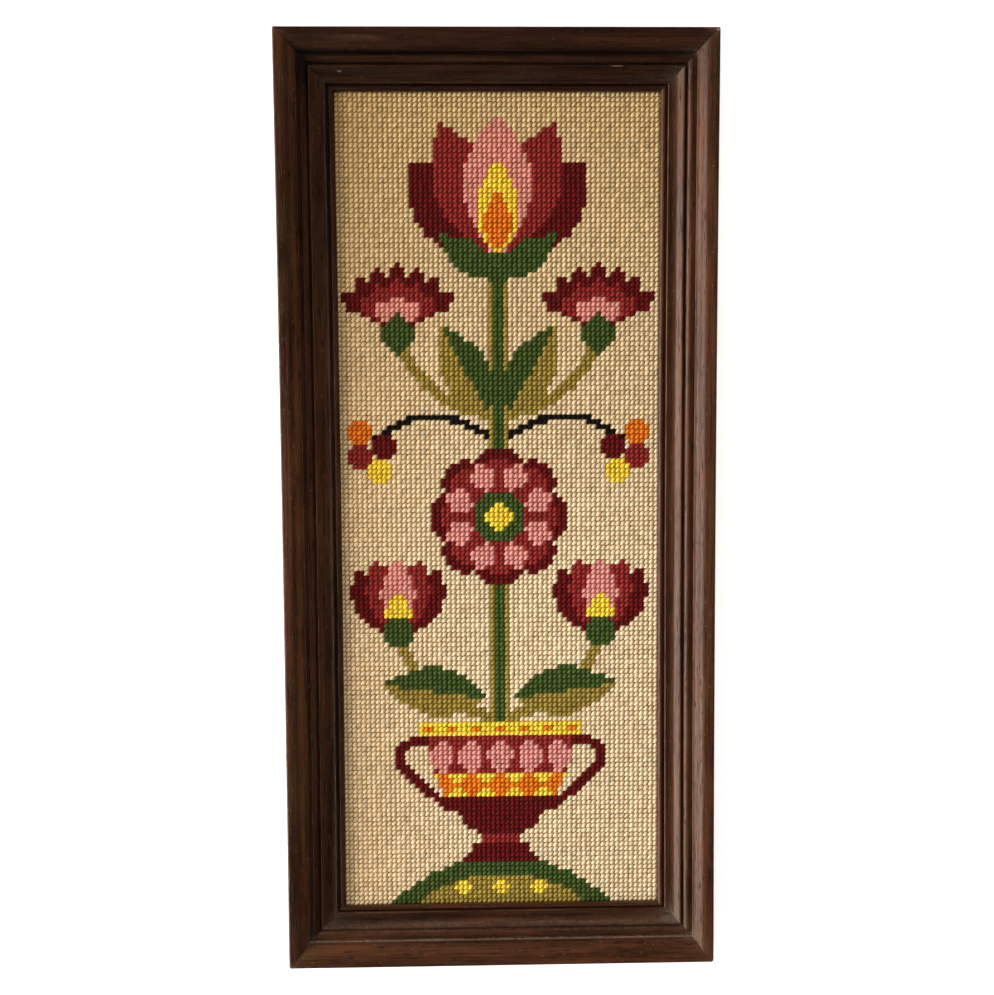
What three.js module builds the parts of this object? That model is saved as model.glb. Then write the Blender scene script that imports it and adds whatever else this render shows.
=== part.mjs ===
// A worked needlepoint canvas in a mitred wooden frame with a thin inner slip.
// Millimetres. The panel lies on its back: +Z points out of its face and +Y to its top.
// The origin is the centre of the back, so the frame's back lies in the plane z = 0.
import * as THREE from 'three';

// The canvas shows through the sight opening, inside the slip
const sightWidth = 166;
const sightHeight = 426;
const mouldingWidth = 29.5;
const frameDepth = 22;
const canvasThickness = 2;
const fitGap = 0.3;

// Height of the frame's highest band over the worked face of the canvas
const faceRise = 12;
const canvasFace = frameDepth - faceRise;

// Moulding section: "out" runs from the sight edge outwards, "up" from the canvas face upwards
const rabbet = { out: 8.5 };
const lip = { out: 4.1, under: 1.6, arris: 3.5, chamfer: 0.4 };
const scoop = { out: 6.3, dip: 2.7 };
const cove = { footOut: 8.4, footUp: 3.4, topOut: 12.4, topUp: 6.3, sag: 3.8 };
const groove = { innerOut: 12.8, outerOut: 13.5, up: 4.8 };
const bead = { innerOut: 13.8, outerOut: 16.5, baseUp: 5.9, swellUp: 7.5 };
const recess = { innerOut: 16.8, outerOut: 18.1, up: 5.3 };
const slope = { footOut: 18.3, footUp: 7.0, topOut: 24.6, topUp: 11.6, ease: 0.9 };
const band = { middleOut: 26.4, edgeOut: 28.3, arris: 1.4 };

// Slip section: a small bead that frames the canvas, and a flange held under the lip
const slipBead = { innerUp: 1.2, outerUp: 1.9, swellUp: 2.9, out: 3.0, swellIn: 0.9, swellOut: 2.5 };
const slipFlange = { out: rabbet.out - fitGap, up: lip.under - fitGap };

const curveSteps = 6;

const wood = { color: 0x3c2316, roughness: 0.42, metalness: 0 };
const slipWood = { color: 0x432619, roughness: 0.38, metalness: 0 };
const worked = { color: 0xd8bf90, roughness: 0.95, metalness: 0 };

function up(height) {
  return canvasFace + height;
}

function mouldingSection() {
  const section = new THREE.Shape();
  section.moveTo(rabbet.out, 0);
  section.lineTo(mouldingWidth, 0);
  // Outer face, its rounded arris and the broad flat band
  section.lineTo(mouldingWidth, frameDepth - band.arris);
  section.quadraticCurveTo(mouldingWidth, frameDepth, band.edgeOut, frameDepth);
  section.quadraticCurveTo(band.middleOut, frameDepth, slope.topOut, up(slope.topUp));
  // The ogee slope falls to a sharp foot, then steps into the recess
  const slopeMiddle = (slope.topOut + slope.footOut) / 2;
  section.bezierCurveTo(
    slopeMiddle, up(slope.topUp - slope.ease),
    slopeMiddle, up(slope.footUp + slope.ease),
    slope.footOut, up(slope.footUp),
  );
  section.lineTo(recess.outerOut, up(recess.up));
  section.lineTo(recess.innerOut, up(recess.up));
  // Small round bead, then a narrow groove
  section.lineTo(bead.outerOut, up(bead.baseUp));
  section.bezierCurveTo(
    bead.outerOut, up(bead.swellUp),
    bead.innerOut, up(bead.swellUp),
    bead.innerOut, up(bead.baseUp),
  );
  section.lineTo(groove.outerOut, up(groove.up));
  section.lineTo(groove.innerOut, up(groove.up));
  // Cove down to the scoop, up to the lip's arris, and under the lip into the rabbet
  section.lineTo(cove.topOut, up(cove.topUp));
  const coveMiddle = (cove.topOut + cove.footOut) / 2;
  section.quadraticCurveTo(coveMiddle, up(cove.sag), cove.footOut, up(cove.footUp));
  section.quadraticCurveTo(scoop.out, up(scoop.dip), lip.out + lip.chamfer, up(lip.arris));
  section.lineTo(lip.out, up(lip.arris - lip.chamfer));
  section.lineTo(lip.out, up(lip.under));
  section.lineTo(rabbet.out, up(lip.under));
  section.closePath();
  return section;
}

function slipSection() {
  const section = new THREE.Shape();
  section.moveTo(0, up(fitGap));
  section.lineTo(slipFlange.out, up(fitGap));
  section.lineTo(slipFlange.out, up(slipFlange.up));
  section.lineTo(slipBead.out, up(slipFlange.up));
  section.lineTo(slipBead.out, up(slipBead.outerUp));
  section.bezierCurveTo(
    slipBead.swellOut, up(slipBead.swellUp),
    slipBead.swellIn, up(slipBead.swellUp),
    0, up(slipBead.innerUp),
  );
  section.closePath();
  return section;
}

// One side of the frame: the section is run along X and both ends are slanted at 45 degrees,
// so that each point lies as far past the sight corner as it lies out from the sight edge.
function mitredSide(section, sightLength) {
  const geometry = new THREE.ExtrudeGeometry(section, {
    depth: 1,
    steps: 1,
    curveSegments: curveSteps,
    bevelEnabled: false,
  });
  const mitreGap = fitGap / Math.SQRT2;
  const position = geometry.getAttribute('position');
  for (let i = 0; i < position.count; i += 1) {
    const out = position.getX(i);
    const height = position.getY(i);
    const end = position.getZ(i) > 0.5 ? 1 : -1;
    position.setXYZ(i, end * (sightLength / 2 + out - mitreGap), out, height);
  }
  geometry.computeVertexNormals();
  return geometry;
}

// The four sides run round the opening: each is turned about Z and moved to its sight edge
const sides = [
  { name: 'top', length: sightWidth, reach: sightHeight / 2, turn: 0 },
  { name: 'left', length: sightHeight, reach: sightWidth / 2, turn: Math.PI / 2 },
  { name: 'bottom', length: sightWidth, reach: sightHeight / 2, turn: Math.PI },
  { name: 'right', length: sightHeight, reach: sightWidth / 2, turn: -Math.PI / 2 },
];

function addSides(panel, prefix, section, look) {
  for (const side of sides) {
    const mesh = new THREE.Mesh(
      mitredSide(section, side.length),
      new THREE.MeshStandardMaterial(look),
    );
    mesh.name = `${prefix}_${side.name}`;
    mesh.rotation.z = side.turn;
    mesh.position.set(-Math.sin(side.turn) * side.reach, Math.cos(side.turn) * side.reach, 0);
    panel.add(mesh);
  }
}

// The canvas runs on under the slip as far as its flange does
function addCanvas(panel) {
  const sheet = new THREE.BoxGeometry(
    sightWidth + 2 * slipFlange.out,
    sightHeight + 2 * slipFlange.out,
    canvasThickness,
  );
  const mesh = new THREE.Mesh(sheet, new THREE.MeshStandardMaterial(worked));
  mesh.name = 'worked_canvas';
  mesh.position.z = canvasFace - canvasThickness / 2;
  panel.add(mesh);
}

const panel = new THREE.Group();
addSides(panel, 'frame', mouldingSection(), wood);
addSides(panel, 'slip', slipSection(), slipWood);
addCanvas(panel);

export default panel;
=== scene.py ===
# Looks for a needlepoint canvas in a mitred wooden frame: wool tent stitch, stained wood
# and soft window light
import math
import random

import bpy
from mathutils import Matrix, Vector, noise


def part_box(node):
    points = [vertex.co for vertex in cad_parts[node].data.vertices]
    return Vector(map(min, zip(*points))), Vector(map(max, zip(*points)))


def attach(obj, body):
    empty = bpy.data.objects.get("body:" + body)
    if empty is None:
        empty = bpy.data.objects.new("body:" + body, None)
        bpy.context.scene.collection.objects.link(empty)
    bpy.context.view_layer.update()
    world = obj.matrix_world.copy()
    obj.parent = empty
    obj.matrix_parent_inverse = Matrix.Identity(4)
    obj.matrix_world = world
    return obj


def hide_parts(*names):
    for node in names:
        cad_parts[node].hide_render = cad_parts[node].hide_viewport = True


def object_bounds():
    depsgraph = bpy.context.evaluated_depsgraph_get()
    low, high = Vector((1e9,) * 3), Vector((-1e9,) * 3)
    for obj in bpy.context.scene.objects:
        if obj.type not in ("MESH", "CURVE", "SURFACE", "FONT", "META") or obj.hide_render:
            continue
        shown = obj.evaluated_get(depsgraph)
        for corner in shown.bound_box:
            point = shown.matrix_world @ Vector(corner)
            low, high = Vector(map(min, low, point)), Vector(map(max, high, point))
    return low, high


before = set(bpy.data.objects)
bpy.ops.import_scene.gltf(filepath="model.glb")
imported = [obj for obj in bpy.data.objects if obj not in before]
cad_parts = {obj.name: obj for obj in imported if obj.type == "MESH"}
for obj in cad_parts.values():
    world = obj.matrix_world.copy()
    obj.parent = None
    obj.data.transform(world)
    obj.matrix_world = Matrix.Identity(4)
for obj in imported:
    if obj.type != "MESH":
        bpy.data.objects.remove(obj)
solidLow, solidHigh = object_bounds()
mm = 0.001
everyPiece = []

# Edges that the solids give: the sight opening inside the slip, and the worked face of the canvas
sightX = -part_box("slip_left")[1].x
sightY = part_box("slip_top")[0].y
canvasLow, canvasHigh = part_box("worked_canvas")
canvasFace = canvasHigh.z
mouldingWidth = solidHigh.x - sightX
print("frame loaded, sight opening", round(2 * sightX / mm, 1), "by", round(2 * sightY / mm, 1), "mm")


def addObject(name, data):
    made = bpy.data.objects.new(name, data)
    bpy.context.scene.collection.objects.link(made)
    return made


# Camera, at the place and angle that the picture was taken from, in millimetres from the centre
# of the canvas face
camera = {
    "eye": (-17.01, 54.18, 650.25),
    "forward": (0.0243, -0.0751, -0.9969),
    "up": (0.0075, 0.9972, -0.0749),
    "focalPixels": 1245.7,
    "pictureHeight": 995,
    "sensor": 36.0,
}


def makeCamera():
    lens = bpy.data.cameras.new("camera")
    lens.sensor_width = camera["sensor"]
    lens.lens = camera["sensor"] * camera["focalPixels"] / camera["pictureHeight"]
    lens.clip_start = 0.01
    eye = addObject("camera", lens)
    back = -Vector(camera["forward"]).normalized()
    right = Vector(camera["up"]).cross(back).normalized()
    up = back.cross(right)
    place = Vector(camera["eye"]) * mm + Vector((0, 0, canvasFace))
    turn = Matrix((right, up, back)).transposed().to_4x4()
    eye.matrix_world = Matrix.Translation(place) @ turn
    bpy.context.scene.camera = eye


makeCamera()
print("camera set")


# Colours are given as a paint chart would, 0 to 255, and turned into the light values that shaders use
def paint(red, green, blue):
    def linear(value):
        value = value / 255
        return value / 12.92 if value <= 0.04045 else ((value + 0.055) / 1.055) ** 2.4
    return (linear(red), linear(green), linear(blue), 1.0)


def addNode(tree, kind, inputs=None, **settings):
    node = tree.nodes.new(kind)
    for name, value in settings.items():
        setattr(node, name, value)
    for name, value in (inputs or {}).items():
        if isinstance(value, bpy.types.NodeSocket):
            tree.links.new(value, node.inputs[name])
        else:
            node.inputs[name].default_value = value
    return node


def newGroup(name, kind, inputs, outputs):
    group = bpy.data.node_groups.new(name, kind)
    for label, socket, value in inputs:
        made = group.interface.new_socket(label, in_out="INPUT", socket_type=socket)
        if value is not None:
            made.default_value = value
    for label, socket in outputs:
        group.interface.new_socket(label, in_out="OUTPUT", socket_type=socket)
    return group, group.nodes.new("NodeGroupInput").outputs, group.nodes.new("NodeGroupOutput").inputs


def newMaterial(name):
    material = bpy.data.materials.new(name)
    material.use_nodes = True
    return material, material.node_tree, material.node_tree.nodes["Principled BSDF"]


def maths(tree, operation, first, second=0.0):
    return addNode(tree, "ShaderNodeMath", {0: first, 1: second}, operation=operation).outputs[0]


def times(tree, first, second):
    return maths(tree, "MULTIPLY", first, second)


def vectorMaths(tree, operation, first, second):
    return addNode(tree, "ShaderNodeVectorMath", {0: first, 1: second}, operation=operation).outputs[0]


def noiseValue(tree, place, scale, detail=3.0, rough=0.55, bend=0.0):
    return addNode(tree, "ShaderNodeTexNoise", {"Vector": place, "Scale": scale, "Detail": detail,
                   "Roughness": rough, "Distortion": bend}).outputs["Fac"]


# Noise drawn out along the grain or the strand, so many repeats a metre along and across it
def streaks(tree, place, along, across, *look):
    drawn = vectorMaths(tree, "MULTIPLY", place, (along, across, across))
    return noiseValue(tree, drawn, 1.0, *look)


# A value that runs from low to high comes out running from made to madeHigh, and stops at each
def ramp(tree, value, low, high, made=0.0, madeHigh=1.0):
    return addNode(tree, "ShaderNodeMapRange", {"Value": value, "From Min": low, "From Max": high,
                   "To Min": made, "To Max": madeHigh}).outputs[0]


def blend(tree, amount, first, second, mode="MIX"):
    return addNode(tree, "ShaderNodeMix", {0: amount, 6: first, 7: second},
                   data_type="RGBA", blend_type=mode).outputs[2]


def tinted(tree, colour, tint):
    return blend(tree, 1.0, colour, tint, "MULTIPLY")


def greyOf(tree, value):
    return addNode(tree, "ShaderNodeCombineColor", {k: value for k in range(3)}).outputs[0]


# Wood: open-grained hardwood under dark stain, its grain running along each length
wood = {
    "figure": (7.0, 150.0, 4.0, 0.6, 0.6),     # repeats a metre along and across the grain,
    "blotch": (38.0, 120.0, 4.0, 0.6, 0.4),    # and the noise's detail, roughness and bend
    "olive": (24.0, 70.0, 3.0, 0.6, 0.3),
    "fibre": (26.0, 1000.0, 4.0, 0.65, 0.2),
    "fine": (90.0, 2600.0, 2.0, 0.6),
    "pore": (130.0, 1500.0, 2.0, 0.5),
    "scuff": (60.0, 420.0, 4.0, 0.7),
    "wear": (45.0, 60.0, 4.0, 0.7),
    "lint": (700.0, 4.0, 0.7),                 # the same each way
    "speck": 420.0,
    "oliveStain": (74, 52, 24),
    "poreFill": (12, 7, 5),
    "thinStainAndHighlight": (134, 104, 84),
    "dust": (138, 124, 108),
    "specks": (150, 124, 98),
    "poreDark": 0.8,
    "rougher": (0.2, 0.2, 0.4),                # at pores, at rubbed wood and under dust
    "relief": (0.6, 0.5),                      # of the fibres and of the fine grain
    "grainDepth": 0.0003, "bump": 0.6,
    "gloss": 0.36,
    "glossTint": (1.0, 0.80, 0.70, 1.0),
}
# Where each noise starts and stops to tell, and what it makes there if not 0 to 1
woodRamps = {
    "light": (0.36, 0.66), "red": (0.46, 0.66, 0.0, 0.55), "olive": (0.52, 0.66, 0.0, 0.6),
    "dark": (0.50, 0.40, 0.0, 0.6), "fine": (0.55, 0.66, 0.0, 0.45), "pore": (0.37, 0.32),
    "arris": (0.35, 0.7, 0.0, 0.55), "rubbed": (0.36, 0.58), "dust": (0.35, 0.7),
    "spotEdge": (1.1, 0.6, 0.0), "spot": (0.34, 0.5),
    "speckEdge": (0.18, 0.09), "speckShare": (0.72, 0.76, 0.0, 0.4),
    "fibreRough": (0.35, 0.65, 0.27, 0.44), "blotchRough": (0.3, 0.7, -0.04, 0.05),
}
# Single worn or dusty spots: centre and half size in millimetres, how strong, and what colour shows
spots = [
    {"at": (107.8, 242.0, 21.8), "size": (5.0, 0.9, 1.6), "amount": 0.6, "colour": (118, 88, 56)},
    {"at": (111.2, 240.9, 21.6), "size": (1.0, 0.8, 1.6), "amount": 0.8, "colour": (176, 146, 118)},
    {"at": (-79.9, 222.3, 14.3), "size": (1.1, 0.5, 2.5), "amount": 0.75, "colour": (150, 122, 94)},
    {"at": (60.6, 224.6, 15.6), "size": (3.6, 0.45, 2.5), "amount": 0.65, "colour": (132, 104, 78)},
    {"at": (89.9, -221.6, 13.8), "size": (5.0, 2.4, 3.0), "amount": 0.55, "colour": (104, 92, 80)},
    {"at": (-71.0, 237.0, 21.0), "size": (15.0, 1.6, 3.0), "amount": 0.22, "colour": (104, 66, 44)},
]


def woodGroup():
    group, given, out = newGroup("woodGrain", "ShaderNodeTree", [
        ("Place", "NodeSocketVector", None),
        ("Spot", "NodeSocketVector", None),
        ("Marks", "NodeSocketVector", None),
        ("PaintedLight", "NodeSocketFloat", 1.0),
        ("Dark", "NodeSocketColor", (0, 0, 0, 1)),
        ("Light", "NodeSocketColor", (1, 1, 1, 1)),
        ("Red", "NodeSocketColor", (1, 0, 0, 1)),
        ("Bare", "NodeSocketColor", (1, 1, 1, 1)),
    ], [("Color", "NodeSocketColor"), ("Roughness", "NodeSocketFloat"), ("Height", "NodeSocketFloat")])
    place = given["Place"]
    marks = addNode(group, "ShaderNodeSeparateXYZ", {0: given["Marks"]}).outputs
    figure, blotch, olive, fibre, fine, pore, scuff, wear = (
        streaks(group, place, *wood[kind])
        for kind in ("figure", "blotch", "olive", "fibre", "fine", "pore", "scuff", "wear"))
    colour = blend(group, ramp(group, figure, *woodRamps["light"]), given["Dark"], given["Light"])
    colour = blend(group, ramp(group, blotch, *woodRamps["red"]), colour, given["Red"])
    colour = blend(group, ramp(group, olive, *woodRamps["olive"]), colour, paint(*wood["oliveStain"]))
    colour = blend(group, ramp(group, fibre, *woodRamps["dark"]), colour, given["Dark"])
    colour = blend(group, ramp(group, fine, *woodRamps["fine"]), colour, given["Light"])
    poreMask = ramp(group, pore, *woodRamps["pore"])
    colour = blend(group, times(group, poreMask, wood["poreDark"]), colour, paint(*wood["poreFill"]))
    # Painted light and shade: the colour is scaled by how much light each part of each rail is painted to
    # catch
    colour = tinted(group, colour, greyOf(group, given["PaintedLight"]))
    # Handling has rubbed the stain thin along the arrises, and through to bare wood at the tips; the pale
    # arris line, scaled by the painted light, is partly a painted highlight along the arrises
    arris = times(group, marks[1], ramp(group, wear, *woodRamps["arris"]))
    colour = blend(group, times(group, arris, given["PaintedLight"]), colour, paint(*wood["thinStainAndHighlight"]))
    rubbed = times(group, marks[0], ramp(group, scuff, *woodRamps["rubbed"]))
    colour = blend(group, rubbed, colour, given["Bare"])
    # Dust lies in the corners, with single spots and with fine specks all over; a narrow line of it at the
    # foot of the bottom rail's slope is a painted highlight
    lint = noiseValue(group, given["Spot"], *wood["lint"])
    dust = times(group, marks[2], ramp(group, lint, *woodRamps["dust"]))
    colour = blend(group, dust, colour, paint(*wood["dust"]))
    for spot in spots:
        offset = vectorMaths(group, "SUBTRACT", given["Spot"], [c * mm for c in spot["at"]])
        scaled = vectorMaths(group, "MULTIPLY", offset, [1 / (c * mm) for c in spot["size"]])
        away = addNode(group, "ShaderNodeVectorMath", {0: scaled}, operation="LENGTH").outputs["Value"]
        shown = ramp(group, away, *woodRamps["spotEdge"], spot["amount"])
        worn = times(group, shown, ramp(group, scuff, *woodRamps["spot"]))
        colour = blend(group, worn, colour, paint(*spot["colour"]))
    cells = addNode(group, "ShaderNodeTexVoronoi", {"Vector": given["Spot"], "Scale": wood["speck"]})
    near = ramp(group, cells.outputs["Distance"], *woodRamps["speckEdge"])
    pick = addNode(group, "ShaderNodeSeparateColor", {"Color": cells.outputs["Color"]}).outputs["Red"]
    speck = times(group, near, ramp(group, pick, *woodRamps["speckShare"]))
    colour = blend(group, times(group, speck, given["PaintedLight"]), colour, paint(*wood["specks"]))
    group.links.new(colour, out["Color"])
    rough = maths(group, "ADD", ramp(group, fibre, *woodRamps["fibreRough"]),
                  ramp(group, blotch, *woodRamps["blotchRough"]))
    for mask, more in zip((poreMask, rubbed, dust), wood["rougher"]):
        rough = maths(group, "ADD", rough, times(group, mask, more))
    group.links.new(rough, out["Roughness"])
    high, low = wood["relief"]
    relief = maths(group, "ADD", times(group, fibre, high), times(group, fine, low))
    group.links.new(maths(group, "SUBTRACT", relief, poreMask), out["Height"])
    return group


woodGrain = woodGroup()


def woodMaterial(name, dark, light, red, bare):
    material, tree, shader = newMaterial(name)
    look = addNode(tree, "ShaderNodeGroup", node_tree=woodGrain)
    place = addNode(tree, "ShaderNodeAttribute", attribute_name="grain").outputs["Vector"]
    marks = addNode(tree, "ShaderNodeAttribute", attribute_name="marks").outputs["Vector"]
    # the tone attribute carries the painted light and shade of each point
    tone = addNode(tree, "ShaderNodeAttribute", attribute_name="tone").outputs["Fac"]
    spot = addNode(tree, "ShaderNodeTexCoord").outputs["Object"]
    for label, value in (("Place", place), ("Marks", marks), ("PaintedLight", tone), ("Spot", spot)):
        tree.links.new(value, look.inputs[label])
    for label, value in (("Dark", dark), ("Light", light), ("Red", red), ("Bare", bare)):
        look.inputs[label].default_value = paint(*value)
    bump = addNode(tree, "ShaderNodeBump", {"Height": look.outputs["Height"], "Strength": wood["bump"],
                   "Distance": wood["grainDepth"]})
    tree.links.new(look.outputs["Color"], shader.inputs["Base Color"])
    tree.links.new(look.outputs["Roughness"], shader.inputs["Roughness"])
    tree.links.new(bump.outputs["Normal"], shader.inputs["Normal"])
    shader.inputs["Specular IOR Level"].default_value = wood["gloss"]
    shader.inputs["Specular Tint"].default_value = wood["glossTint"]
    return material


stainedWood = woodMaterial("stainedWood", (45, 24, 12), (84, 49, 28), (88, 43, 25), (158, 118, 80))
slipWood = woodMaterial("slipWood", (47, 25, 14), (86, 49, 31), (92, 45, 29), (150, 108, 76))
print("wood materials made")


# Sections are closed outlines of (out, up) in millimetres: out from the sight edge, and up from
# the frame's back. A curve leaves its first point out, because the outline has it already.
def curve(points, steps):
    made = []
    for k in range(1, steps + 1):
        left = [Vector(p) for p in points]
        t = k / steps
        while len(left) > 1:
            left = [a.lerp(b, t) for a, b in zip(left, left[1:])]
        made.append(tuple(left[0]))
    return made


# Corners are eased with a small round, and outward ones are marked as arrises
def softened(outline, radius, steps=3, sharper=math.radians(28)):
    made = []
    for k, here in enumerate(outline):
        here = Vector(here)
        before, after = Vector(outline[k - 1]) - here, Vector(outline[(k + 1) % len(outline)]) - here
        if math.pi - before.angle(after) < sharper:
            made.append((here.x, here.y, 0))
            continue
        start = here + before.normalized() * min(radius, before.length * 0.45)
        end = here + after.normalized() * min(radius, after.length * 0.45)
        outward = 1 if before.x * after.y - before.y * after.x < 0 else 0
        made.append((start.x, start.y, 0))
        made += [(x, y, outward) for x, y in curve([start, here, end], steps)[:-1]]
        made.append((end.x, end.y, 0))
    return made


# The forms of the moulding are (out, up from the canvas face), from the broad band inwards to the lip
moulding = {
    "width": mouldingWidth / mm, "top": solidHigh.z / mm, "face": canvasFace / mm,
    "outerArris": 1.4, "bandEdge": 28.3, "bandMiddle": 26.4,
    "ogee": ((24.6, 11.6), (21.2, 10.8), (21.0, 7.8), (18.3, 7.0)),
    "recess": ((17.8, 5.6), (16.8, 5.6), (16.5, 6.0)),
    "bead": ((16.5, 6.0), (17.0, 8.1), (14.7, 7.5), (13.8, 5.9)),
    "groove": ((13.5, 4.8), (12.7, 4.8), (12.3, 6.2)),
    "cove": ((12.3, 6.2), (11.0, 6.1), (9.7, 3.6), (8.4, 3.4)),
    "scoop": ((8.4, 3.4), (6.3, 2.7), (4.5, 3.5)),
    "lip": ((4.1, 3.1), (4.1, 1.6)),
    "rabbet": 8.5,
    "curveSteps": 12, "bandSteps": 6, "scoopSteps": 8, "arris": 0.28,
}


def raised(points):
    return [(out, moulding["face"] + up) for out, up in points]


def mouldingSection():
    m = moulding
    top, steps, ogee = m["top"], m["curveSteps"], raised(m["ogee"])
    corner = (m["width"], top - m["outerArris"])
    outline = [(m["rabbet"], 0), (m["width"], 0), corner]
    outline += curve([corner, (m["width"], top), (m["bandEdge"], top)], m["bandSteps"])
    outline += curve([(m["bandEdge"], top), (m["bandMiddle"], top), ogee[0]], m["bandSteps"])
    outline += curve(ogee, steps)
    outline += raised(m["recess"])
    outline += curve(raised(m["bead"]), steps)
    outline += raised(m["groove"])
    outline += curve(raised(m["cove"]), steps)
    outline += curve(raised(m["scoop"]), m["scoopSteps"])
    outline += raised(m["lip"])
    outline.append((m["rabbet"], outline[-1][1]))
    return softened(outline, m["arris"])


slip = {
    "gap": 0.3, "flange": 8.2, "flangeUp": 1.3, "beadSteps": 10, "arris": 0.2, "arrisSteps": 2,
    "bead": ((3.0, 1.9), (2.5, 2.9), (0.9, 2.9), (0, 1.2)),
}


def slipSection():
    flange, under, over, bead = slip["flange"], slip["gap"], slip["flangeUp"], slip["bead"]
    outline = raised([(0, under), (flange, under), (flange, over), (bead[0][0], over), bead[0]])
    outline += curve(raised(bead), slip["beadSteps"])
    return softened(outline, slip["arris"], slip["arrisSteps"])


# Each length of wood is the section run between two mitres; tips are a little rounded and worn
length = {
    "mitreGap": 0.05, "step": 5.0,
    "closeSteps": (0, 0.3, 0.6, 1.0, 1.5, 2.2, 3.2, 5.0, 8.0, 12.0, 18.0),
    "linesUp": 1.7, "slipOut": 5,               # the lines stand in above this height, or inside this
    "wave": 0.07, "waveRun": (0.02, 0.05), "waveApart": 7.3, "waveUp": 0.5,
    "board": (313.0, 41.0),                     # each length is cut from another place of the board
    "tipWear": 2.6, "tipUp": 8, "tipRub": 1.6,
    "hollows": ((5, 12), (16, 20)), "dustShare": (0.2, 0.8),    # out of the hollows, and in them
    "dustRun": 6, "dustDrift": 0.6, "driftRun": 0.04,
    "nook": (15.5, 3.3),                        # where the painted shadows near the ends lie, out and half width
    "crease": math.radians(40),
}
# What each corner has seen: how far its tip is rounded, how much it is rubbed, and its dust
corners = {
    "topLeft": {"round": 1.3, "rubbed": 0.3, "dust": 0.1},
    "topRight": {"round": 1.6, "rubbed": 0.3, "dust": 0.3},
    "bottomRight": {"round": 2.2, "rubbed": 0.2, "dust": 0.6},
    "bottomLeft": {"round": 2.0, "rubbed": 0.2, "dust": 0.25},
}


def stations(half):
    ends = [half - d for d in length["closeSteps"]]
    count = math.ceil(ends[-1] / length["step"])
    middle = [ends[-1] * k / count for k in range(count)]
    right = middle + ends[::-1]
    return [-x / half for x in reversed(right[1:])] + [x / half for x in right]


# How far the moulding's lines stand in, or out if less than nothing, on this side
def stoodIn(side, out):
    for (start, low), (end, high) in zip(side["shift"], side["shift"][1:]):
        if out <= end:
            return low + (high - low) * max(0, out - start) / (end - start)
    return 0


# A point near the frame's tip is drawn back on to its round; also how far it lay from the tip
def roundedTip(x, y, tip, half):
    tipX, tipY = half + moulding["width"], moulding["width"]
    gap = Vector((tipX - abs(x), tipY - y))
    if gap.x < tip and gap.y < tip:
        ray = Vector((tip - gap.x, tip - gap.y))
        if ray.length > tip:
            ray *= tip / ray.length
            x, y = math.copysign(tipX - tip + ray.x, x), tipY - tip + ray.y
    return x, y, gap.length


def bell(value, middle, halfWidth):
    return math.exp(-((value - middle) / halfWidth) ** 2)


def dustAndHighlightAt(side, corner, x, out, mitre, seed):
    inHollow = any(low < out < high for low, high in length["hollows"])
    settled = corner["dust"] * math.exp(mitre / length["dustRun"]) * length["dustShare"][inHollow]
    drift = 1 + length["dustDrift"] * noise.noise((x * length["driftRun"], 3, seed))
    for at, wide, amount in side["dust"]:
        settled += amount * drift * bell(out, at, wide)
    return min(1.0, settled)


# Painted light and shade: how much darker or lighter the wood is painted here, in place of the light that
# falls on it
def paintedLightAt(side, x, out, outer):
    tone = side["tone" if outer else "slipPaintedLight"]
    # Painted shade in the recesses and, with a minus, painted light on the lit slopes, across the section
    for at, wide, amount in side["paintedShadeAcross"]:
        tone *= 1 - amount * bell(out, at, wide)
    # Painted shade along the length, and painted light where the amount has a minus
    for at, wide, amount in side["paintedShadeAlong"]:
        tone *= 1 - amount * bell(x, at, wide)
    # Painted shadow in the recesses near the ends, where the next rail keeps the light out
    for at, wide, amount in side["paintedShadowsAtEnds"]:
        tone *= 1 - amount * bell(x, at, wide) * bell(out, *length["nook"])
    return tone


# Faces of a closed tube: rings of points, one after another, with a cap on each end
def tubeFaces(ring, rings):
    faces = []
    for k in range(rings - 1):
        for n in range(ring):
            a, b = k * ring + n, k * ring + (n + 1) % ring
            faces.append((a + ring, b + ring, b, a))
    faces.append(tuple(range(ring)))
    faces.append(tuple((rings - 1) * ring + n for n in range(ring))[::-1])
    return faces


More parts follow.
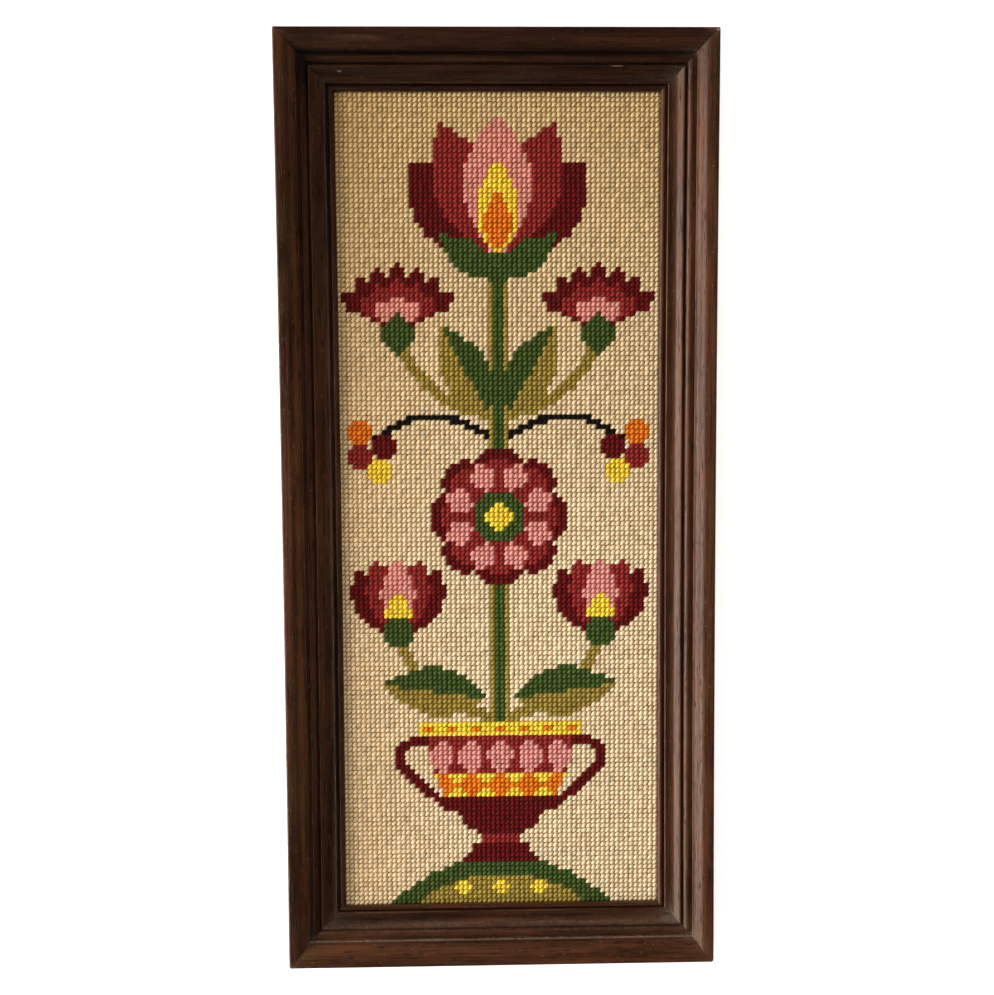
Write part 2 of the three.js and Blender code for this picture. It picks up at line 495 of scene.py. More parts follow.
def mouldedLength(name, section, number, seed, material, outer):
    side, face = sides[number], moulding["face"]
    half, steps = side["half"], stations(side["half"])
    mitreBack = length["mitreGap"] / math.sqrt(2)
    turned = Matrix.Rotation(side["turn"], 3, "Z")
    board = [seed * step for step in length["board"]]
    waveX, waveOut = length["waveRun"]
    points, grain, marks, paintedLights = [], [], [], []
    for t in steps:
        corner = corners[side["ends"][1 if t > 0 else 0]]
        tip = corner["round"] if outer else 0
        beside = sides[number - 1] if t > 0 else sides[(number + 1) % 4]
        for out, up, arris in section:
            x, y = t * (half + out - mitreBack), out - side["bow"] * (1 - t * t)
            mitre = abs(x) - half - out
            if up > face + length["linesUp"] or out < length["slipOut"]:
                y -= stoodIn(side, out)
                x -= stoodIn(beside, abs(x) - half) * math.copysign(1, x)
            wave = length["wave"] * noise.noise((x * waveX, seed * length["waveApart"], out * waveOut))
            z = min(up + wave, moulding["top"]) if up > face + length["waveUp"] else up
            x, y, toTip = roundedTip(x, y, tip, half)
            points.append(turned @ Vector((x, y + side["reach"], z)) * mm)
            grain.append(Vector((x + board[0], out + board[1], up)) * mm)
            rubbed = math.exp(-toTip / length["tipWear"]) if up > face + length["tipUp"] else 0
            rubbed = min(1.0, length["tipRub"] * rubbed * corner["rubbed"])
            marks.append((rubbed, arris, dustAndHighlightAt(side, corner, x, out, mitre, seed)))
            paintedLights.append(paintedLightAt(side, x, out, outer))
    mesh = bpy.data.meshes.new(name)
    mesh.from_pydata(points, [], tubeFaces(len(section), len(steps)))
    for label, values in (("grain", grain), ("marks", marks)):
        layer = mesh.attributes.new(label, "FLOAT_VECTOR", "POINT")
        layer.data.foreach_set("vector", [c for v in values for c in v])
    mesh.attributes.new("tone", "FLOAT", "POINT").data.foreach_set("value", paintedLights)
    mesh.shade_smooth()
    mesh.set_sharp_from_angle(angle=length["crease"])
    mesh.materials.append(material)
    return addObject(name, mesh)


# Each side has its tone, painted light and shade that makes the whole rail and slip darker or lighter for
# how light falls on them, how far it bows in, where its lines stand in (out, how far), where painted shade
# darkens its recesses or, with a minus, painted light brightens its lit slopes (out, half width, how
# much), the bands of painted shade along it, lighter with a minus, and the painted shadows in its recesses
# near its ends (along, half width, how much), and where dust lies on it (out, half width, how much)
across, upright = sightX / mm, sightY / mm
sides = [
    {"name": "top", "half": across, "reach": upright, "turn": 0.0, "ends": ("topLeft", "topRight"),
     "tone": 0.46, "slipPaintedLight": 0.44, "bow": 0.0,
     "shift": ((0, 0), (4.1, 0.5), (13.5, 0.4), (18, -0.5), (26, 0)),
     "paintedShadeAcross": ((0.1, 0.5, 0.5), (3.6, 0.6, 0.5), (9.8, 2.0, 0.25), (13.1, 0.7, 0.5), (18.0, 1.4, 0.7),
               (21.8, 1.8, -0.25)),
     "paintedShadeAlong": (), "paintedShadowsAtEnds": ((-100, 11, 0.75),), "dust": ()},
    {"name": "left", "half": upright, "reach": across, "turn": math.pi / 2,
     "ends": ("bottomLeft", "topLeft"), "tone": 1.05, "slipPaintedLight": 1.0, "bow": 0.55,
     "shift": ((0, 0), (13.5, 0), (17.5, -0.5), (26, 0)),
     "paintedShadeAcross": ((0.1, 0.5, 0.6), (2.5, 0.9, 0.5), (4.8, 1.2, 0.65), (13.1, 0.7, 0.5), (16.2, 1.2, 0.45),
               (20.8, 1.7, -0.6)),
     "paintedShadeAlong": ((175, 75, 0.35), (15, 60, -0.15), (-160, 60, 0.15)),
     "paintedShadowsAtEnds": ((228, 18, 0.8), (-228, 12, 0.5)), "dust": ()},
    {"name": "bottom", "half": across, "reach": upright, "turn": math.pi,
     "ends": ("bottomRight", "bottomLeft"), "tone": 1.08, "slipPaintedLight": 0.85, "bow": 0.0,
     "shift": ((0, 0.35), (3, 0.9), (4.1, 1.5), (13.5, 1.8), (18, 1.5), (26, 0)),
     "paintedShadeAcross": ((2.5, 0.9, 0.4), (4.2, 0.5, 0.3), (7.3, 2.3, 0.45), (12.8, 0.5, 0.5), (17.2, 0.8, -0.6),
               (19.2, 0.5, 0.35), (22.0, 1.6, -0.35)),
     # the narrow dust line at 18.25 is a painted highlight on the foot of the slope
     "paintedShadeAlong": (), "paintedShadowsAtEnds": (), "dust": ((10.7, 1.6, 0.24), (13.9, 0.7, 0.2), (18.25, 0.35, 0.9))},
    {"name": "right", "half": upright, "reach": across, "turn": -math.pi / 2,
     "ends": ("topRight", "bottomRight"), "tone": 1.2, "slipPaintedLight": 1.3, "bow": 0.7,
     "shift": ((0, -0.78), (3, -0.27), (13.5, -0.27), (18, -0.5), (26, 0)),
     "paintedShadeAcross": ((0.1, 0.5, 0.6), (3.6, 0.7, 0.6), (6.7, 1.6, 0.35), (13.1, 0.7, 0.5), (17.2, 1.0, -0.6),
               (20.5, 0.7, -0.25)),
     "paintedShadeAlong": ((-235, 24, 0.45),), "paintedShadowsAtEnds": (), "dust": ()},
]
for number, side in enumerate(sides):
    place = side["name"]
    rail = mouldedLength(place + "Moulding", mouldingSection(), number, number + 1, stainedWood, True)
    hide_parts("frame_" + place)
    bead = mouldedLength(place + "Slip", slipSection(), number, number + 9, slipWood, False)
    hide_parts("slip_" + place)
    everyPiece += [rail, bead]
print("moulding and slip made, faces", sum(len(p.data.polygons) for p in everyPiece))


# The chart: a traditional flower urn, drawn from simple shapes on the stitch grid and mirrored
# left to right. Places and sizes are in stitches, from the middle of the lower sight edge.
chart = {"columns": 68, "rows": 170, "pitch": 2.54 * mm, "below": 1}
ground = "sand"
worked = [[ground] * chart["rows"] for _ in range(chart["columns"])]


def work(yarn, inside, mirrored=True):
    for column in range(chart["columns"]):
        x = column + 0.5 - chart["columns"] / 2
        for row in range(chart["rows"]):
            y = row + 0.5 - chart["below"]
            if inside(x, y) or mirrored and inside(-x, y):
                worked[column][row] = yarn


def petal(x, y, angle, size, width, fullness=1.0, half=0):
    c, s = math.cos(math.radians(angle)), math.sin(math.radians(angle))

    def inside(px, py):
        along = ((px - x) * c + (py - y) * s) / size
        across = (py - y) * c - (px - x) * s
        if not 0 <= along <= 1 or half * across < 0:
            return False
        return abs(across) <= width * 0.54 * math.sin(math.pi * along ** fullness) ** 0.95
    return inside


def disc(x, y, radius):
    return lambda px, py: math.hypot(px - x, py - y) <= radius


def scalloped(x, y, radius, lobes, depth):
    def inside(px, py):
        lobe = abs(math.cos(lobes * math.atan2(py - y, px - x) / 2))
        return math.hypot(px - x, py - y) <= radius * (1 - depth + depth * lobe)
    return inside


def stroke(start, bend, end, width, steps=40):
    dots = [Vector(start)] + [Vector(p) for p in curve([start, bend, end], steps)]
    return lambda px, py: any(math.hypot(px - p.x, py - p.y) <= width / 2 for p in dots)


def fan(x, y, radius, low, high, points, depth):
    def inside(px, py):
        angle = math.degrees(math.atan2(py - y, px - x))
        if not low <= angle <= high:
            return False
        tooth = abs((angle - low) / (high - low) * points % 1 - 0.5) * 2
        return math.hypot(px - x, py - y) <= radius * (1 - depth * tooth)
    return inside


def vessel(low, high, halfLow, halfHigh, swell=1.0, showLow=0, showHigh=999):
    def inside(px, py):
        if not max(low, showLow) <= py <= min(high, showHigh):
            return False
        rise = math.sin((py - low) / (high - low) * math.pi / 2) ** swell
        return abs(px) <= halfLow + (halfHigh - halfLow) * rise
    return inside


def diamonds(y, pitch, half, within):
    def inside(px, py):
        return within(px, py) and abs((px + pitch / 2) % pitch - pitch / 2) + abs(py - y) <= half
    return inside


def leaf(x, y, angle, size, width):
    work("green", petal(x, y, angle, size, width, 0.9))
    work("olive", petal(x, y, angle, size, width, 0.9, half=-1))


def workStems():
    work("olive", stroke((0, 40), (17, 42), (21, 58), 2.2))
    work("black", stroke((0, 97), (14, 108), (25, 98), 1.5))
    work("olive", stroke((0, 103), (16, 104), (20.5, 120), 2.2))
    work("olive", vessel(37, 140, 2, 2))
    work("green", vessel(37, 140, 1, 1))


def workUrn():
    body = (15, 36, 4.5, 15.2, 0.75)
    work("green", disc(0, -22, 32))
    work("olive", disc(0, -22, 28.5))
    work("yellow", diamonds(3.5, 8, 1.6, disc(0, -22, 28)))
    work("burgundy", stroke((16, 35), (29, 34), (11, 21), 1.9))
    work("burgundy", vessel(9, 13, 8.5, 6))
    work("rose", vessel(13, 15, 3.6, 3.6))
    work("burgundy", vessel(*body))
    work("rose", vessel(*body, showLow=28))
    for drop in (0, 6.2, 12.4):
        work("pink", petal(drop, 35, -90, 7.5, 5, 0.8))
    work("yellow", vessel(*body, showLow=23, showHigh=28))
    work("orange", diamonds(25.5, 6, 2.6, vessel(*body, showLow=23, showHigh=28)))
    work("yellow", vessel(36, 39, 17, 17))
    work("orange", diamonds(37.5, 5, 1.1, vessel(36, 39, 17, 17)))


def workTulip(x, y, size):
    for yarn, lean, share, width in (("burgundy", 33, 1, 0.5), ("rose", 17, 1.04, 0.42),
                                     ("pink", 0, 1, 0.4)):
        work(yarn, petal(x, y, 90 + lean, size * share, size * width, 1.1))
        work(yarn, petal(x, y, 90 - lean, size * share, size * width, 1.1))
    work("yellow", petal(x, y + 1, 90, size / 2, 5))
    work("green", disc(x, y + 1, 3.2))


def workRosette(x, y, radius):
    work("burgundy", scalloped(x, y, radius, 8, 0.16))
    work("rose", scalloped(x, y, radius * 0.86, 8, 0.2))
    for k in range(8):
        turn = math.radians(45 * k + 22.5)
        start = (x + radius * 0.36 * math.cos(turn), y + radius * 0.36 * math.sin(turn))
        work("pink", petal(*start, math.degrees(turn), radius * 0.44, radius * 0.3, 1.2))
    work("green", disc(x, y, radius * 0.36))
    work("yellow", disc(x, y, radius * 0.2))


def workCarnation(x, y, radius):
    for yarn, share, low, points in (("burgundy", 1, 24, 7), ("rose", 0.77, 30, 5), ("pink", 0.53, 38, 3)):
        work(yarn, fan(x, y, radius * share, low, 180 - low, points, 0.2))
    work("green", petal(x, y - 5, 90, 9, 6.5))


def workTopTulip(x, y):
    for yarn, lean, size, width in (("burgundy", 40, 28, 13), ("rose", 22, 31, 12), ("pink", 0, 31, 13)):
        work(yarn, petal(x, y, 90 + lean, size, width, 1.15))
        work(yarn, petal(x, y, 90 - lean, size, width, 1.15))
    work("yellow", petal(x, y + 2, 90, 20, 8, 0.9))
    work("orange", petal(x, y + 3, 90, 13, 5, 0.9))
    work("green", petal(x, y - 2, 145, 15, 6, 0.9))
    work("green", disc(x, y, 3.4))


def workBerries():
    for x, y, yarn in ((23.5, 96.5, "burgundy"), (28.5, 99.5, "orange"), (28.5, 94.5, "rose"),
                       (24.5, 91.5, "yellow")):
        work(yarn, disc(x, y, 2.3))


workStems()
workUrn()
leaf(3, 44, 8, 22, 9.5)
workTulip(21, 57, 16.5)
workRosette(0, 82, 14.5)
leaf(2, 103, 62, 21, 9)
workBerries()
workCarnation(20.5, 120, 14)
workTopTulip(0, 133)
print("chart worked", chart["columns"], "by", chart["rows"], "stitches")


# Wool: soft matt strands, a little uneven in dye and ply
yarns = {
    "sand": (238, 219, 184), "burgundy": (104, 4, 8), "rose": (152, 42, 41), "pink": (231, 155, 150),
    "green": (68, 92, 37), "olive": (162, 142, 62), "yellow": (254, 226, 68), "orange": (239, 129, 18),
    "black": (15, 14, 13),
}
wool = {
    "slant": math.radians(58),
    "strand": (420.0, 2600.0, 2.0, 0.5, 0.3), "fuzz": (5200.0, 1.0), "blotch": (34.0, 3.0, 0.6),
    "fuzzRelief": 0.35, "strandDepth": 0.00018, "bump": 0.5,
    "rough": 0.9, "gloss": 0.25, "sheen": 0.1, "sheenRough": 0.45,
    "shadow": 0.72,
    "browningAndShadeGround": (0.71, 0.62, 0.425, 1.0),
    "browningAndShadeColours": (0.88, 0.84, 0.74, 1.0),
    "leftEdgeShadeTint": (0.98, 0.86, 0.68, 1.0),
    "betweenTint": (0.88, 0.66, 0.38, 1.0),
}
woolRamps = {
    "shade": (0, 1, 0.86, 1.08), "blotch": (0.3, 0.7, -0.05, 0.05), "strand": (0.25, 0.75, -0.07, 0.05),
    "browningAndShadeRange": (-0.03, 0.22),                  # from where to where up the canvas, in metres
    "browningAndShadeBlotch": (0.3, 0.7, 0.88, 1.06),
    "leftEdgeShade": (-0.02, -0.085, 0.0, 0.6),     # and towards its left edge
    "low": (0.42, 0.22, 0.0, 0.5),
    "between": (canvasFace - 0.3 * mm, canvasFace - 1.0 * mm), "browningAndShadeBetween": (0, 1, 0.65, 1.0),
}


def woolGroup():
    group, given, out = newGroup("woolStrand", "ShaderNodeTree", [
        ("Place", "NodeSocketVector", None),
        ("Shade", "NodeSocketFloat", 0.5),
        ("Yarn", "NodeSocketColor", (1, 1, 1, 1)),
        ("Shadow", "NodeSocketColor", (0, 0, 0, 1)),
        ("BrowningAndShadeTint", "NodeSocketColor", (1, 1, 1, 1)),
    ], [("Color", "NodeSocketColor"), ("Height", "NodeSocketFloat")])
    slanted = addNode(group, "ShaderNodeVectorRotate", {"Vector": given["Place"], "Angle": -wool["slant"]},
                      rotation_type="Z_AXIS").outputs[0]
    strand = streaks(group, slanted, *wool["strand"])
    fuzz = noiseValue(group, given["Place"], *wool["fuzz"])
    blotch = noiseValue(group, given["Place"], *wool["blotch"])
    tone = maths(group, "ADD", ramp(group, given["Shade"], *woolRamps["shade"]),
                 ramp(group, blotch, *woolRamps["blotch"]))
    tone = maths(group, "ADD", tone, ramp(group, strand, *woolRamps["strand"]))
    colour = tinted(group, given["Yarn"], greyOf(group, tone))
    # Towards the top the wool is darker and browner, partly browned by light and dust and partly painted
    # shade where less light reaches it; along the left edge painted shade darkens and yellows it where the
    # rail's shadow falls
    axes = addNode(group, "ShaderNodeSeparateXYZ", {0: given["Place"]}).outputs
    browningAndShade = times(group, ramp(group, axes[1], *woolRamps["browningAndShadeRange"]),
                 ramp(group, blotch, *woolRamps["browningAndShadeBlotch"]))
    browningAndShade = maths(group, "MINIMUM", browningAndShade, 1.0)
    colour = blend(group, browningAndShade, colour, tinted(group, colour, given["BrowningAndShadeTint"]))
    # Painted shadow of the left rail along the canvas's left edge
    leftEdgeShade = ramp(group, axes[0], *woolRamps["leftEdgeShade"])
    colour = blend(group, leftEdgeShade, colour, tinted(group, colour, wool["leftEdgeShadeTint"]))
    colour = blend(group, ramp(group, strand, *woolRamps["low"]), colour, given["Shadow"])
    # Between the stitches only light from the wool itself comes in, so its colour is deeper there
    deep = times(group, ramp(group, axes[2], *woolRamps["between"]),
                 ramp(group, browningAndShade, *woolRamps["browningAndShadeBetween"]))
    colour = blend(group, deep, colour, tinted(group, colour, wool["betweenTint"]))
    group.links.new(colour, out["Color"])
    height = maths(group, "ADD", strand, times(group, fuzz, wool["fuzzRelief"]))
    group.links.new(height, out["Height"])
    return group


woolStrand = woolGroup()


def woolMaterial(name, colour):
    material, tree, shader = newMaterial(name + "Wool")
    place = addNode(tree, "ShaderNodeTexCoord").outputs["Object"]
    shade = addNode(tree, "ShaderNodeAttribute", attribute_name="shade").outputs["Fac"]
    look = addNode(tree, "ShaderNodeGroup", node_tree=woolStrand)
    tree.links.new(place, look.inputs["Place"])
    tree.links.new(shade, look.inputs["Shade"])
    look.inputs["Yarn"].default_value = paint(*colour)
    look.inputs["Shadow"].default_value = paint(*(c * wool["shadow"] for c in colour))
    look.inputs["BrowningAndShadeTint"].default_value = wool["browningAndShadeGround" if name == ground else "browningAndShadeColours"]
    bump = addNode(tree, "ShaderNodeBump", {"Height": look.outputs["Height"], "Strength": wool["bump"],
                   "Distance": wool["strandDepth"]})
    tree.links.new(look.outputs["Color"], shader.inputs["Base Color"])
    tree.links.new(bump.outputs["Normal"], shader.inputs["Normal"])
    shader.inputs["Roughness"].default_value = wool["rough"]
    shader.inputs["Specular IOR Level"].default_value = wool["gloss"]
    shader.inputs["Sheen Weight"].default_value = wool["sheen"]
    shader.inputs["Sheen Roughness"].default_value = wool["sheenRough"]
    shader.inputs["Sheen Tint"].default_value = paint(*colour)
    return material


yarnMaterials = {yarn: woolMaterial(yarn, colour) for yarn, colour in yarns.items()}


# One tent stitch: a plump strand that rises from the lower left hole and dips into the upper right one
stitch = {
    "around": 6, "along": 6, "width": 2.0 * mm, "height": 1.2 * mm, "crown": 0.6 * mm,
    "lean": 0.62, "reach": 0.97, "fullness": 0.13, "turnSpread": 0.15, "sizeSpread": 0.08, "seed": 11,
}


def stitchMesh():
    half = chart["pitch"] / 2
    c, s = math.cos(wool["slant"]), math.sin(wool["slant"])
    rings, points = stitch["along"], []
    for k in range(rings + 1):
        t = -math.cos(math.pi * k / rings)
        thick = max(0.0, 1 - t * t) ** (0.5 - stitch["fullness"])
        middle = Vector((half * stitch["reach"] * (stitch["lean"] * t + (1 - stitch["lean"]) * t ** 3),
                         half * stitch["reach"] * t, stitch["crown"] * (1 - t * t)))
        for n in range(stitch["around"] if 0 < k < rings else 1):
            turn = 2 * math.pi * n / stitch["around"]
            across = math.cos(turn) * thick * stitch["width"] / 2
            up = math.sin(turn) * thick * stitch["height"] / 2
            points.append(middle + Vector((s * across, -c * across, up)))
    around, last = stitch["around"], len(points) - 1
    faces = [(0, 1 + (n + 1) % around, 1 + n) for n in range(around)]
    for k in range(rings - 2):
        for n in range(around):
            a, b = 1 + k * around + n, 1 + k * around + (n + 1) % around
            faces.append((a, b, b + around, a + around))
    faces += [(last, last - around + n, last - around + (n + 1) % around) for n in range(around)]
    mesh = bpy.data.meshes.new("tentStitch")
    mesh.from_pydata(points, [], faces)
    mesh.shade_smooth()
    return mesh


def stitchTree():
    tree, given, out = newGroup("tentStitches", "GeometryNodeTree", [
        ("Holes", "NodeSocketGeometry", None),
        ("Stitch", "NodeSocketObject", None),
        ("Turn Spread", "NodeSocketFloat", 0.1),
        ("Size Spread", "NodeSocketFloat", 0.05),
        ("Seed", "NodeSocketInt", 1),
        ("Yarn", "NodeSocketMaterial", None),
    ], [("Stitches", "NodeSocketGeometry")])

    def randomValue(low, high, shift):
        seed = maths(tree, "ADD", given["Seed"], shift)
        return addNode(tree, "FunctionNodeRandomValue", {"Seed": seed, 2: low, 3: high},
                       data_type="FLOAT").outputs[1]

    back = times(tree, given["Turn Spread"], -1.0)
    turn = randomValue(back, given["Turn Spread"], 0)
    tilt = randomValue(back, given["Turn Spread"], 1)
    euler = addNode(tree, "ShaderNodeCombineXYZ", {"X": tilt, "Z": turn}).outputs[0]
    turned = addNode(tree, "FunctionNodeEulerToRotation", {0: euler}).outputs[0]
    small = maths(tree, "SUBTRACT", 1.0, given["Size Spread"])
    large = maths(tree, "ADD", 1.0, given["Size Spread"])
    size = randomValue(small, large, 2)
    source = addNode(tree, "GeometryNodeObjectInfo", {"Object": given["Stitch"]}).outputs["Geometry"]
    placed = addNode(tree, "GeometryNodeInstanceOnPoints", {"Points": given["Holes"], "Instance": source,
                     "Rotation": turned, "Scale": size}).outputs[0]
    shaded = addNode(tree, "GeometryNodeStoreNamedAttribute", {"Geometry": placed, "Name": "shade"},
                     data_type="FLOAT", domain="INSTANCE")
    tree.links.new(randomValue(0.0, 1.0, 3), shaded.inputs["Value"])
    real = addNode(tree, "GeometryNodeRealizeInstances", {"Geometry": shaded.outputs[0]}).outputs[0]
    dyed = addNode(tree, "GeometryNodeSetMaterial", {"Geometry": real, "Material": given["Yarn"]})
    tree.links.new(dyed.outputs[0], out[0])
    return tree


tentStitches = stitchTree()
stitchSource = addObject("tentStitch", stitchMesh())


def inputKey(tree, label):
    return next(item.identifier for item in tree.interface.items_tree
                if item.item_type == "SOCKET" and item.in_out == "INPUT" and item.name == label)


# The thread count wanders a little, so rows and columns are never quite straight
canvasDrift = {
    "size": 0.22 * mm, "run": 9.0, "apart": (31, 7, 0),
    "jitter": 0.08 * mm, "sink": 0.06, "seed": 5,
}
random.seed(canvasDrift["seed"])


def holeAt(column, row):
    x = (column + 0.5 - chart["columns"] / 2) * chart["pitch"]
    y = (row + 0.5 - chart["rows"] / 2) * chart["pitch"]
    place = Vector((x, y, 0)) * canvasDrift["run"]
    other = place + Vector(canvasDrift["apart"])
    drift = Vector((noise.noise(place), noise.noise(other), 0)) * canvasDrift["size"]
    drift += Vector((random.uniform(-1, 1), random.uniform(-1, 1), 0)) * canvasDrift["jitter"]
    lift = random.uniform(-canvasDrift["sink"], 0.0) * mm
    top = canvasFace - stitch["crown"] - stitch["height"] / 2
    return Vector((x, y, top + lift)) + drift


holes = [[holeAt(column, row) for row in range(chart["rows"])] for column in range(chart["columns"])]


def yarnPiece(name, yarn, cells):
    points = bpy.data.meshes.new(name)
    points.from_pydata([holes[column][row] for column, row in cells], [], [])
    base = addObject(name, points)
    nodes = base.modifiers.new("tentStitches", "NODES")
    nodes.node_group = tentStitches
    for label, value in (("Stitch", stitchSource), ("Turn Spread", stitch["turnSpread"]),
                         ("Size Spread", stitch["sizeSpread"]), ("Seed", stitch["seed"] + len(cells)),
                         ("Yarn", yarnMaterials[yarn])):
        nodes[inputKey(tentStitches, label)] = value
    bpy.context.view_layer.update()
    made = bpy.data.meshes.new_from_object(base.evaluated_get(bpy.context.evaluated_depsgraph_get()))
    base.modifiers.remove(nodes)
    base.data = made
    return base


mostStitches = 3000                       # keeps each piece light enough
stitchPieces = []
for yarn in yarns:
    cells = [(c, r) for r in range(chart["rows"]) for c in range(chart["columns"]) if worked[c][r] == yarn]
    bands = math.ceil(len(cells) / mostStitches)
    for k in range(bands):
        part = cells[len(cells) * k // bands:len(cells) * (k + 1) // bands]
        name = yarn + "Stitches" + (str(k + 1) if bands > 1 else "")
        stitchPieces.append(yarnPiece(name, yarn, part))
bpy.data.objects.remove(stitchSource)
print("stitches worked, faces", sum(len(p.data.polygons) for p in stitchPieces))


# The canvas itself: cotton mesh under the stitches, with the back of the work on its other side. Between
# the stitches its face takes the yarn's colour darkened by painted shade, and the mesh's holes are painted
# dark as shade
canvasSheet = {
    "thick": 0.8 * mm, "backGap": 0.1 * mm, "rough": 0.95,
    "cotton": (176, 150, 108), "gapShadeTint": (0.56, 0.43, 0.24, 1.0),
    "meshBands": 31.98, "meshBend": 0.4, "meshDepth": 0.0003, "meshBump": 0.6,
    "shadeBetweenThreads": (40, 26, 12), "lint": 900.0, "lintColour": (84, 62, 36),
    "ridges": 62.0, "ridgeBend": 1.2, "ridgeLean": math.radians(-27), "ridgeDepth": 0.0006,
    "ridgeBump": 0.8, "shadeBetweenRidges": (60, 44, 30),
    "strand": (300.0, 2200.0, 2.0), "shadeBetweenStrands": (40, 30, 22),
}


def dyeAndPlace(tree):
    place = addNode(tree, "ShaderNodeTexCoord").outputs["Object"]
    return addNode(tree, "ShaderNodeAttribute", attribute_name="yarnColour").outputs["Color"], place


def finishCloth(tree, shader, colour, height, strength, depth):
    bump = addNode(tree, "ShaderNodeBump", {"Height": height, "Strength": strength, "Distance": depth})
    tree.links.new(colour, shader.inputs["Base Color"])
    tree.links.new(bump.outputs["Normal"], shader.inputs["Normal"])
    shader.inputs["Roughness"].default_value = canvasSheet["rough"]


def cottonMaterial():
    material, tree, shader = newMaterial("cottonMesh")
    dye, place = dyeAndPlace(tree)
    bars = []
    for direction in ("X", "Y"):
        wave = addNode(tree, "ShaderNodeTexWave", {"Vector": place, "Scale": canvasSheet["meshBands"],
                       "Distortion": canvasSheet["meshBend"]}, bands_direction=direction)
        bars.append(wave.outputs["Fac"])
    weave = maths(tree, "MAXIMUM", *bars)
    lint = noiseValue(tree, place, canvasSheet["lint"])
    colour = tinted(tree, dye, canvasSheet["gapShadeTint"])
    shadedGaps = ramp(tree, weave, 0.1, 0.7, 0.5, 0.1)
    colour = blend(tree, shadedGaps, colour, paint(*canvasSheet["shadeBetweenThreads"]))
    colour = blend(tree, ramp(tree, lint, 0.3, 0.7, 0.0, 0.2), colour, paint(*canvasSheet["lintColour"]))
    finishCloth(tree, shader, colour, weave, canvasSheet["meshBump"], canvasSheet["meshDepth"])
    return material


def backMaterial():
    material, tree, shader = newMaterial("backOfWork")
    dye, place = dyeAndPlace(tree)
    slanted = addNode(tree, "ShaderNodeVectorRotate", {"Vector": place, "Angle": canvasSheet["ridgeLean"]},
                      rotation_type="Z_AXIS").outputs[0]
    ridge = addNode(tree, "ShaderNodeTexWave", {"Vector": slanted, "Scale": canvasSheet["ridges"],
                    "Distortion": canvasSheet["ridgeBend"]}, bands_direction="Y").outputs["Fac"]
    strand = streaks(tree, slanted, *canvasSheet["strand"])
    # Painted shade between the ridges and strands of yarn on the back
    shadedGaps = ramp(tree, ridge, 0.0, 0.55, 0.55, 0.0)
    colour = blend(tree, shadedGaps, dye, paint(*canvasSheet["shadeBetweenRidges"]))
    shadedGaps = ramp(tree, strand, 0.3, 0.7, 0.25, 0.0)
    colour = blend(tree, shadedGaps, colour, paint(*canvasSheet["shadeBetweenStrands"]))
    finishCloth(tree, shader, colour, ridge, canvasSheet["ridgeBump"], canvasSheet["ridgeDepth"])
    return material


def canvasPiece():
    low, high = canvasLow, canvasHigh
    lines = [[], []]
    for axis, count in ((0, chart["columns"]), (1, chart["rows"])):
        half = count * chart["pitch"] / 2
        middle = [k * chart["pitch"] - half for k in range(count + 1)]
        lines[axis] = [low[axis]] + middle + [high[axis]]
    xs, ys = lines
    backZ = low.z + canvasSheet["backGap"]
    frontZ = backZ + canvasSheet["thick"]
    points = [(x, y, z) for z in (backZ, frontZ) for y in ys for x in xs]
    wide, layer = len(xs), len(xs) * len(ys)
    faces, dyes, slots = [], [], []
    for row in range(len(ys) - 1):
        for column in range(wide - 1):
            a = row * wide + column
            inWork = 0 < column < wide - 2 and 0 < row < len(ys) - 2
            yarn = worked[column - 1][row - 1] if inWork else None
            dye = paint(*(yarns[yarn] if yarn else canvasSheet["cotton"]))
            faces.append((a, a + wide, a + wide + 1, a + 1))
            faces.append(tuple(layer + p for p in (a, a + 1, a + wide + 1, a + wide)))
            dyes += [dye, dye]
            slots += [1 if yarn else 0, 0]
    rim = list(range(wide)) + [r * wide + wide - 1 for r in range(1, len(ys))]
    rim += [(len(ys) - 1) * wide + c for c in range(wide - 2, -1, -1)]
    rim += [r * wide for r in range(len(ys) - 2, 0, -1)]
    for a, b in zip(rim, rim[1:] + rim[:1]):
        faces.append((a, b, layer + b, layer + a))
        dyes.append(paint(*canvasSheet["cotton"]))
        slots.append(0)
    mesh = bpy.data.meshes.new("canvasMesh")
    mesh.from_pydata(points, [], faces)
    mesh.materials.append(cottonMaterial())
    mesh.materials.append(backMaterial())
    mesh.polygons.foreach_set("material_index", slots)
    mesh.attributes.new("yarnColour", "FLOAT_COLOR", "CORNER").data.foreach_set(
        "color", [c for dye, face in zip(dyes, faces) for _ in face for c in dye])
    return addObject("canvasMesh", mesh)


canvas = canvasPiece()
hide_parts("worked_canvas")
everyPiece += stitchPieces + [canvas]
print("canvas made")


# Pale floor that the panel lies on, and soft light from a window to the left
paleFloor = {
    "half": 3.0, "dull": (250, 250, 250), "bright": (253, 253, 253), "cloud": (3.0, 2.0),
    "rough": 0.8, "gloss": 0.2, "glow": 0.6,
}


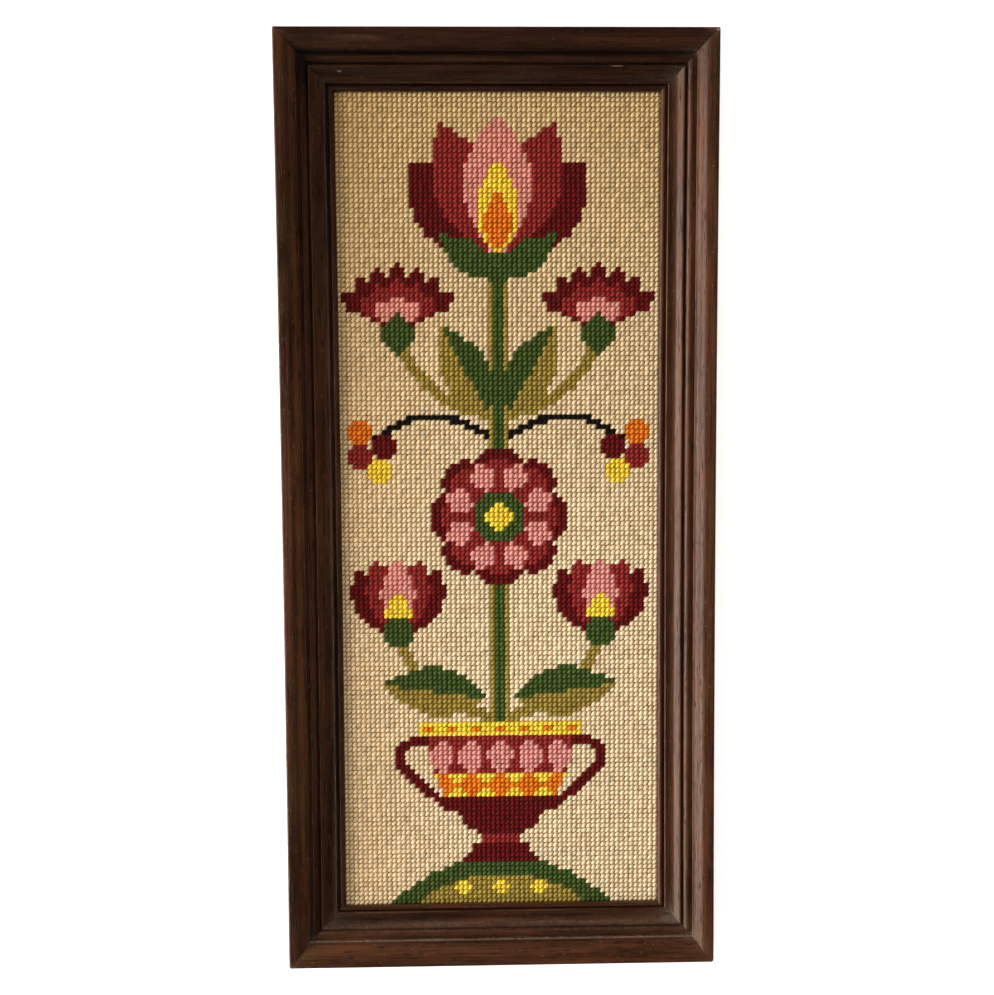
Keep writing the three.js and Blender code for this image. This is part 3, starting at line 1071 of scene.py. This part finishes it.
def floorMaterial():
    material, tree, shader = newMaterial("paleFloor")
    place = addNode(tree, "ShaderNodeTexCoord").outputs["Object"]
    tone = ramp(tree, noiseValue(tree, place, *paleFloor["cloud"]), 0.3, 0.7)
    colour = blend(tree, tone, paint(*paleFloor["dull"]), paint(*paleFloor["bright"]))
    tree.links.new(colour, shader.inputs["Base Color"])
    shader.inputs["Roughness"].default_value = paleFloor["rough"]
    shader.inputs["Specular IOR Level"].default_value = paleFloor["gloss"]
    shader.inputs["Emission Color"].default_value = (1, 1, 1, 1)
    shader.inputs["Emission Strength"].default_value = paleFloor["glow"]
    return material


def makeFloor():
    half = paleFloor["half"]
    mesh = bpy.data.meshes.new("floor")
    square = [(-half, -half, 0), (half, -half, 0), (half, half, 0), (-half, half, 0)]
    mesh.from_pydata(square, [], [(0, 1, 2, 3)])
    mesh.materials.append(floorMaterial())
    addObject("floor", mesh)


lights = {
    "window": {"place": (-1.2, -0.15, 0.38), "size": (1.5, 0.55), "power": 31.0,
               "colour": (1.0, 0.98, 0.96)},
    "farWall": {"place": (0.0, 1.9, 1.3), "size": (3.2, 2.4), "power": 18.0,
                "colour": (1.0, 0.97, 0.92)},
    "ceiling": {"place": (0.0, -0.55, 1.8), "size": (2.0, 1.4), "power": 2.4,
                "colour": (1.0, 0.98, 0.96)},
}
roomLight = {"colour": (1.0, 0.96, 0.90, 1.0), "strength": 0.42}


def makeLights():
    for name, light in lights.items():
        lamp = bpy.data.lights.new(name, "AREA")
        lamp.shape = "RECTANGLE"
        lamp.size, lamp.size_y = light["size"]
        lamp.energy = light["power"]
        lamp.color = light["colour"]
        made = addObject(name, lamp)
        made.location = light["place"]
        made.rotation_euler = (-Vector(light["place"])).to_track_quat("-Z", "Y").to_euler()
        made.visible_glossy = name == "window"         # only the window is mirrored in the varnish
    world = bpy.data.worlds.new("room")
    bpy.context.scene.world = world
    world.use_nodes = True
    background = world.node_tree.nodes["Background"]
    background.inputs["Color"].default_value = roomLight["colour"]
    background.inputs["Strength"].default_value = roomLight["strength"]
    world.cycles_visibility.glossy = False             # the room is too dim to be mirrored there


makeFloor()
makeLights()
bpy.context.scene.view_settings.view_transform = "Standard"
print("floor and lights set")

for piece in everyPiece:
    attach(piece, "root")
